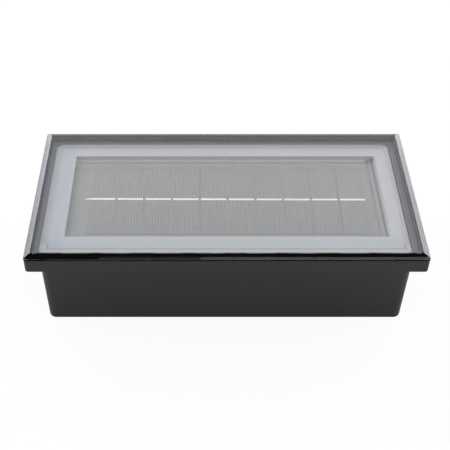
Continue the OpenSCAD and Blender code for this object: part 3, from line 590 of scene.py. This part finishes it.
def eased_profile(corners, radii):
    """Rings of a block's side: (inset, height, outward normal, upward normal), each corner eased.

    The corners run from the block's flat underside to its flat top.
    """
    far, steps = 1.0, 5
    line = [(corners[0][0] + far, corners[0][1]), *corners, (corners[-1][0] + far, corners[-1][1])]
    line = [(-inset, height) for inset, height in line]
    rings = []
    for before, here, after, radius in zip(line, line[1:], line[2:], radii):
        a = (Vector(here) - Vector(before)).normalized()
        b = (Vector(after) - Vector(here)).normalized()
        start, end = math.atan2(-a.x, a.y), math.atan2(-b.x, b.y)
        if end < start:
            end += 2 * math.pi
        reach = radius * math.tan((end - start) / 2)
        hub = Vector(here) - a * reach + Vector((-a.y, a.x)) * radius
        for i in range(steps + 1):
            turn = start + (end - start) * i / steps
            out, up = math.cos(turn), math.sin(turn)
            rings.append((-hub.x - out * radius, hub.y + up * radius, out, up))
    return rings


def outline(length, width, inset, radius, side_steps=1):
    """Points round a rectangle with rounded corners: (x, y, outward x, outward y)."""
    corner_steps = 12
    x, y = length / 2 - inset, width / 2 - inset
    hub_x, hub_y = x - radius, y - radius
    points = []
    for quarter, (sx, sy) in enumerate(((1, 1), (-1, 1), (-1, -1), (1, -1))):
        for i in range(corner_steps + 1):
            turn = math.pi / 2 * (quarter + i / corner_steps)
            out_x, out_y = math.cos(turn), math.sin(turn)
            points.append((sx * hub_x + radius * out_x, sy * hub_y + radius * out_y, out_x, out_y))
        along = 2 * (x if quarter % 2 == 0 else y) - 2 * radius
        last = points[-1]
        for i in range(1, side_steps):
            reach = along * i / side_steps
            points.append((last[0] - reach * last[3], last[1] + reach * last[2], last[2], last[3]))
    return points


def make_piece(name, points, faces, slot):
    """A mesh piece on the light's own body, with the finish of its slot."""
    mesh = bpy.data.meshes.new(name)
    mesh.from_pydata(points, [], faces)
    mesh.validate()
    mesh.materials.append(FINISHES[slot])
    piece = bpy.data.objects.new(name, mesh)
    bpy.context.scene.collection.objects.link(piece)
    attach(piece, "light")
    return piece


def bridge(count, near, far):
    """Faces between two loops of points, given the index at which each loop starts."""
    steps = [(i, (i + 1) % count) for i in range(count)]
    return [(near + i, near + after, far + after, far + i) for i, after in steps]


def lofted_block(name, slot, length, width, rings, radius_at):
    """Closed block from the rings of its side. Its plan corners have the radius for their inset."""
    points, normals, faces = [], [], []
    for inset, height, out, up in rings:
        for x, y, out_x, out_y in outline(length, width, inset, radius_at(inset)):
            points.append((x, y, height))
            normals.append((out * out_x, out * out_y, up))
    count = len(points) // len(rings)
    for ring in range(len(rings) - 1):
        faces.extend(bridge(count, ring * count, (ring + 1) * count))
    top = (len(rings) - 1) * count
    faces.append(tuple(range(top, top + count)))
    faces.append(tuple(range(count - 1, -1, -1)))
    piece = make_piece(name, points, faces, slot)
    for face in piece.data.polygons:
        face.use_smooth = True
    piece.data.normals_split_custom_set_from_vertices(normals)
    return piece


def joined_loops(name, slot, loops):
    """Closed ring through loops of equal count, from the outer foot up, over and down inside."""
    count = len(loops[0])
    faces = []
    for k in range(len(loops)):
        faces.extend(bridge(count, k * count, (k + 1) % len(loops) * count))
    return make_piece(name, [p for loop in loops for p in loop], faces, slot)


def add_cover():
    """The clear cover: an upright edge, then two facets that meet in mitres, slightly eased."""
    low = BODY_H - COVER_T
    upright_h, knee_h, knee_inset, crown_inset = 0.45 * MM, 1.3 * MM, 1.2 * MM, 3.3 * MM
    easing = [0.1 * MM, 0.15 * MM, 0.25 * MM, 0.4 * MM]
    sharpen, least_r = 1.4, 0.2 * MM
    corners = [
        (EDGE_STRIP, low + AIR_GAP),
        (EDGE_STRIP, low + upright_h),
        (knee_inset + EDGE_STRIP, low + knee_h),
        (crown_inset, BODY_H),
    ]
    pane = lofted_block(
        "cover_pane", "cover_clear", BODY_L, BODY_W, eased_profile(corners, easing),
        lambda inset: max(RIM_R - sharpen * inset, least_r),
    )
    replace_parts(pane, "cover")


def add_film():
    """The clear film over the cells, eased at its edge."""
    low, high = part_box("panel_film")
    ribbon_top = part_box("cell_ribbons")[1].z
    corner_r, least_r, easing = 0.8 * MM, 0.3 * MM, [0.05 * MM, 0.12 * MM]
    rings = eased_profile([(0.0, ribbon_top + AIR_GAP), (0.0, high.z)], easing)
    resin = lofted_block(
        "panel_resin", "film_clear", high.x - low.x, high.y - low.y, rings,
        lambda inset: max(corner_r - inset, least_r),
    )
    resin.data.transform(Matrix.Translation(((low.x + high.x) / 2, (low.y + high.y) / 2, 0)))
    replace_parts(resin, "panel_film")


def add_bond_bead():
    """The black bead, pressed against the glass all over, its inner edge a little uneven."""
    low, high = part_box("cover_bond")
    outer, inner = BODY_L / 2 - high.x + AIR_GAP, UPSTAND_W + 0.2 * MM
    foot, glass = low.z + AIR_GAP, high.z + 2 * AIR_GAP
    section = [
        (outer, foot),
        (outer, glass),
        (inner - 0.1 * MM, glass),
        (inner, high.z - 0.12 * MM),
        (inner - 0.08 * MM, foot),
    ]
    first_inner, side_steps, least_r = 2, 90, 0.5 * MM
    front_limit, end_limit, front_spill, sway = -40 * MM, 94 * MM, 0.45 * MM, 0.09 * MM
    waves = ((23.0, 0.5, 0.3), (9.1, 0.3, 1.7), (4.3, 0.2, 4.1))

    def reach_in(x, y):
        """How far the bead's inner edge runs in at a place, from waves along the ring."""
        along = (x - y) / MM
        swing = 0.0
        for pitch, share, phase in waves:
            swing += share * math.sin(2 * math.pi * along / pitch + phase)
        spill = front_spill if y < front_limit and abs(x) < end_limit else 0.0
        return spill + sway * swing

    loops = []
    for corner, (inset, height) in enumerate(section):
        loop = []
        radius = max(RIM_R - inset, least_r)
        for x, y, out_x, out_y in outline(BODY_L, BODY_W, inset, radius, side_steps):
            shift = reach_in(x, y) if corner >= first_inner else 0.0
            loop.append((x - shift * out_x, y - shift * out_y, height))
        loops.append(loop)
    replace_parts(joined_loops("bond_bead", "bond_black", loops), "cover_bond")


def add_edge_strip():
    """A thin strip in the bond's black finish up the cover's front edge, lower elsewhere, which
    draws the dark line above the rim.
    """
    glass = BODY_H - COVER_T
    low, high = glass + AIR_GAP, glass + 0.43 * MM
    inner, front_limit, least_h = EDGE_STRIP - AIR_GAP / 2, -49.4 * MM, 0.03 * MM
    section = [(0.0, low), (0.0, high), (inner, high), (inner, low)]
    loops = []
    for inset, height in section:
        ring = outline(BODY_L, BODY_W, inset, RIM_R - inset)
        elsewhere = min(height, low + least_h)
        loops.append([(x, y, height if y < front_limit else elsewhere) for x, y, _, _ in ring])
    joined_loops("edge_strip", "bond_black", loops)


def add_frame():
    """The frosted frame: a low brow round its rim, eased edges, and its window off the middle."""
    low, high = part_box("light_frame")
    foot, ledge, face = low.z + AIR_GAP, low.z + 0.62 * MM, high.z - BROW_H
    brow_top, brow_shoulder, brow_foot = 2.55 * MM, 2.75 * MM, 2.85 * MM
    ease, lip, lip_middle = 0.12 * MM, 0.25 * MM, 0.07 * MM
    wall_w, least_r = 1.6 * MM, 0.2 * MM
    rim = [
        (0.0, ledge), (0.0, high.z - ease), (ease, high.z),
        (brow_top, high.z), (brow_shoulder, high.z - ease), (brow_foot, face),
    ]
    window = [
        (lip, face), (lip_middle, face - lip_middle), (0.0, face - lip),
        (0.0, foot), (wall_w, foot), (wall_w, ledge),
    ]
    loops = []
    for inset, height in rim:
        back = outline(*FRAME_SIZE, inset, FRAME_R - inset)
        front = outline(*FRAME_SIZE, inset, max(FRAME_FRONT_R - inset, least_r))
        ring = [b if b[1] < 0 else a for a, b in zip(back, front)]
        loops.append([(x + FRAME_PLACE[0], y + FRAME_PLACE[1], height) for x, y, _, _ in ring])
    for outset, height in window:
        ring = outline(WINDOW_L, WINDOW_W, -outset, WINDOW_R + outset)
        loops.append([(x + WINDOW_PLACE[0], y + WINDOW_PLACE[1], height) for x, y, _, _ in ring])
    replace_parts(joined_loops("frosted_frame", "frosted", loops), "light_frame")


def fillet(name, start, end, foot, profile, turn):
    """Sealant drawn along a line, its profile (distance, height) running up to the wall."""
    rows, waves = 40, ((0.06 * MM, 1.3, 0.0), (0.04 * MM, 0.37, 2.0))
    points, faces = [], []
    for row in range(rows + 1):
        along = start + (end - start) * row / rows
        lift = sum(height * math.sin(row * pace + phase) for height, pace, phase in waves)
        section = [(profile[-1][0], foot), (profile[0][0], foot)]
        for i, (reach, height) in enumerate(profile):
            section.append((reach, height + lift * i / len(profile)))
        points.extend(turn(along, reach, height) for reach, height in section)
    count = len(profile) + 2
    for row in range(rows):
        faces.extend(bridge(count, row * count, (row + 1) * count))
    faces.append(tuple(range(count - 1, -1, -1)))
    faces.append(tuple(range(rows * count, (rows + 1) * count)))
    make_piece(name, points, faces, "panel_grey")


def climb(start, end, foot, rise, power, steps):
    """Profile that sets out flat at the start and rises to the end."""
    inner_edge = 0.03 * MM
    shares = [i / steps for i in range(steps + 1)]
    return [(start + (end - start) * s, foot + inner_edge + rise * s ** power) for s in shares]


def add_panel_sealant():
    """Grey sealant from the panel's right end and back edge up to the window's walls."""
    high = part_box("panel_film")[1]
    foot = high.z + AIR_GAP
    half_x, half_y = WINDOW_L / 2 - AIR_GAP, WINDOW_W / 2 - AIR_GAP
    left, right = WINDOW_PLACE[0] - half_x, WINDOW_PLACE[0] + half_x
    front, back = WINDOW_PLACE[1] - half_y, WINDOW_PLACE[1] + half_y
    right_lap, right_rise, back_lap, back_rise = 0.1 * MM, 2.3 * MM, 0.2 * MM, 0.1 * MM
    profile = climb(high.x - right_lap, right, foot, right_rise, power=3, steps=8)
    fillet("sealant_right", front, back, foot, profile, lambda along, reach, z: (reach, along, z))
    profile = climb(high.y - back_lap, back, foot, back_rise, power=2, steps=4)
    fillet("sealant_back", right, left, foot, profile, lambda along, reach, z: (along, reach, z))


def add_ribbon_tail():
    """The first ribbon runs on past its cell and bends down to the panel's board."""
    low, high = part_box("cell_ribbons")
    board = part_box("panel_board")[1].z
    length, thick, steps = 3.0 * MM, 0.08 * MM, 12
    side, lift = 0.1 * MM, 0.01 * MM
    points, faces = [], []
    for i in range(steps + 1):
        share = i / steps
        drop = share * share * (3 - 2 * share)
        x = low.x - AIR_GAP - length * share
        z = (low.z + lift) * (1 - drop) + (board + AIR_GAP) * drop
        for y in (low.y + side, high.y - side):
            points.extend(((x, y, z), (x, y, z + thick)))
    for i in range(steps):
        a = 4 * i
        faces.append((a, a + 4, a + 6, a + 2))
        faces.append((a + 1, a + 3, a + 7, a + 5))
        faces.append((a, a + 1, a + 5, a + 4))
        faces.append((a + 2, a + 6, a + 7, a + 3))
    end = 4 * steps
    faces.append((0, 2, 3, 1))
    faces.append((end, end + 1, end + 3, end + 2))
    make_piece("ribbon_tail", points, faces, "ribbon_tin")


add_cover()
add_film()
add_bond_bead()
add_edge_strip()
add_frame()
add_panel_sealant()
add_ribbon_tail()

# Studio


def add_floor():
    """A pale floor, open under the light's base so that its underside can be seen from below."""
    half_x, half_y, low, reach = 90 * MM, 40 * MM, -0.1 * MM, 3.0
    inner = [(-half_x, -half_y), (half_x, -half_y), (half_x, half_y), (-half_x, half_y)]
    outer = [(-reach, -reach), (reach, -reach), (reach, reach), (-reach, reach)]
    mesh = bpy.data.meshes.new("floor")
    mesh.from_pydata(
        [(x, y, low) for x, y in inner + outer],
        [],
        [(4 + i, 4 + (i + 1) % 4, (i + 1) % 4, i) for i in range(4)],
    )
    floor = bpy.data.objects.new("floor", mesh)
    bpy.context.scene.collection.objects.link(floor)
    mesh.materials.append(floor_paper())


def floor_paper():
    """White paper: it keeps the shadow, is clean white to the eye and open from below."""
    material = bpy.data.materials.new("floor_paper")
    material.use_nodes = True
    g = Graph(material.node_tree)
    g.tree.nodes.remove(g.tree.nodes["Principled BSDF"])
    to_eye, to_gloss = 0.88, 0.4
    path = g.node("LightPath").outputs
    place = g.node("TexCoord").outputs["Object"]
    tone = g.mix(g.noise(place, 3.0, 40.0), grey(0.80), grey(0.82))
    paper = g.node("BsdfDiffuse", {"Color": tone}).outputs[0]
    white = g.node("Emission", {"Color": grey(1.0), "Strength": 1.05}).outputs[0]
    seen = g.math("MAXIMUM", path["Is Camera Ray"], path["Is Transmission Ray"])
    seen = g.math("MULTIPLY", seen, to_eye)
    seen = g.math("MAXIMUM", seen, g.math("MULTIPLY", path["Is Glossy Ray"], to_gloss))
    lit = g.node("MixShader", {0: seen, 1: paper, 2: white}).outputs[0]
    clear = g.node("BsdfTransparent").outputs[0]
    back = g.node("NewGeometry").outputs["Backfacing"]
    open_below = g.node("MixShader", {0: back, 1: lit, 2: clear}).outputs[0]
    g.feed(g.tree.nodes["Material Output"].inputs["Surface"], open_below)
    return material


def light_world():
    """Soft white all round, brighter low down behind, dark overhead, plain white to the eye."""
    world = bpy.data.worlds.new("studio")
    bpy.context.scene.world = world
    world.use_nodes = True
    g = Graph(world.node_tree)
    way = g.parts(g.node("TexCoord").outputs["Generated"])
    high = g.math("SUBTRACT", way["Z"], g.math("MULTIPLY", way["Y"], 0.25))
    level = g.span(high, 0.62, 0.85, 1.0, 0.03)
    aside = g.both(g.span(g.math("ABSOLUTE", way["X"]), 0.4, 0.55), g.span(way["Y"], 0.35, 0.5))
    corners = g.both(aside, g.span(way["Z"], 0.12, 0.2, 1.0, 0.0))
    level = g.math("MULTIPLY_ADD", corners, 1.8, level)
    rear = g.both(g.span(way["Y"], 0.3, 0.6), g.span(way["Z"], 0.2, 0.35, 1.0, 0.0))
    level = g.math("MULTIPLY_ADD", rear, 0.35, level)
    seen = g.math("MAXIMUM", g.node("LightPath").outputs["Is Camera Ray"], level)
    g.feed(g.tree.nodes["Background"].inputs["Strength"], seen)
    g.feed(g.tree.nodes["Background"].inputs["Color"], grey(1.0))


def softbox(name, toward, distance, size, radiance, colour=(1.0, 1.0, 1.0)):
    """A rectangular lamp that faces the light, seen only in what it lights and in gloss."""
    lamp = bpy.data.lights.new(name, "AREA")
    lamp.shape = "RECTANGLE"
    lamp.size, lamp.size_y = size
    lamp.energy = radiance * math.pi * size[0] * size[1]
    lamp.color = colour
    box = bpy.data.objects.new(name, lamp)
    way = Vector(toward).normalized()
    box.location = way * distance
    box.rotation_euler = way.to_track_quat("Z", "Y").to_euler()
    box.visible_camera = False
    bpy.context.scene.collection.objects.link(box)


def add_lamps():
    """Two cool lamps low behind for the bevels, soft ones at the sides, two small ones in front."""
    cool = (0.95, 0.98, 1.06)
    softbox("back_left", (-0.555, 0.72, 0.42), 0.95, (0.5, 0.3), 5.3, cool)
    softbox("back_right", (0.59, 0.71, 0.385), 0.95, (0.5, 0.3), 5.2, cool)
    softbox("side_left", (-0.75, -0.1, 0.75), 1.1, (0.6, 0.6), 1.4)
    softbox("side_right", (0.75, -0.1, 0.75), 1.1, (0.6, 0.6), 1.4)
    softbox("front_top", (0.16, -0.45, 0.88), 1.0, (0.34, 0.2), 1.4)
    softbox("front_left", (-0.0865, -0.45, 0.88), 1.0, (0.153, 0.2), 0.4)


def add_camera():
    """The photograph's viewpoint, from a fit to the light's whole outline."""
    focal_mm, sideways, degrees_down = 72.557, 0.0525, 43.6
    place = (-12.476 * MM, -359.262 * MM, 368.956 * MM)
    lens = bpy.data.cameras.new("viewpoint")
    lens.sensor_width = 36.0
    lens.lens = focal_mm
    lens.shift_x = sideways
    lens.clip_start = 0.01
    camera = bpy.data.objects.new("viewpoint", lens)
    camera.location = place
    camera.rotation_euler = (math.radians(90 - degrees_down), 0, 0)
    bpy.context.scene.collection.objects.link(camera)
    bpy.context.scene.camera = camera


add_floor()
light_world()
add_lamps()
add_camera()
bpy.context.scene.view_settings.view_transform = "Standard"

bpy.context.view_layer.update()
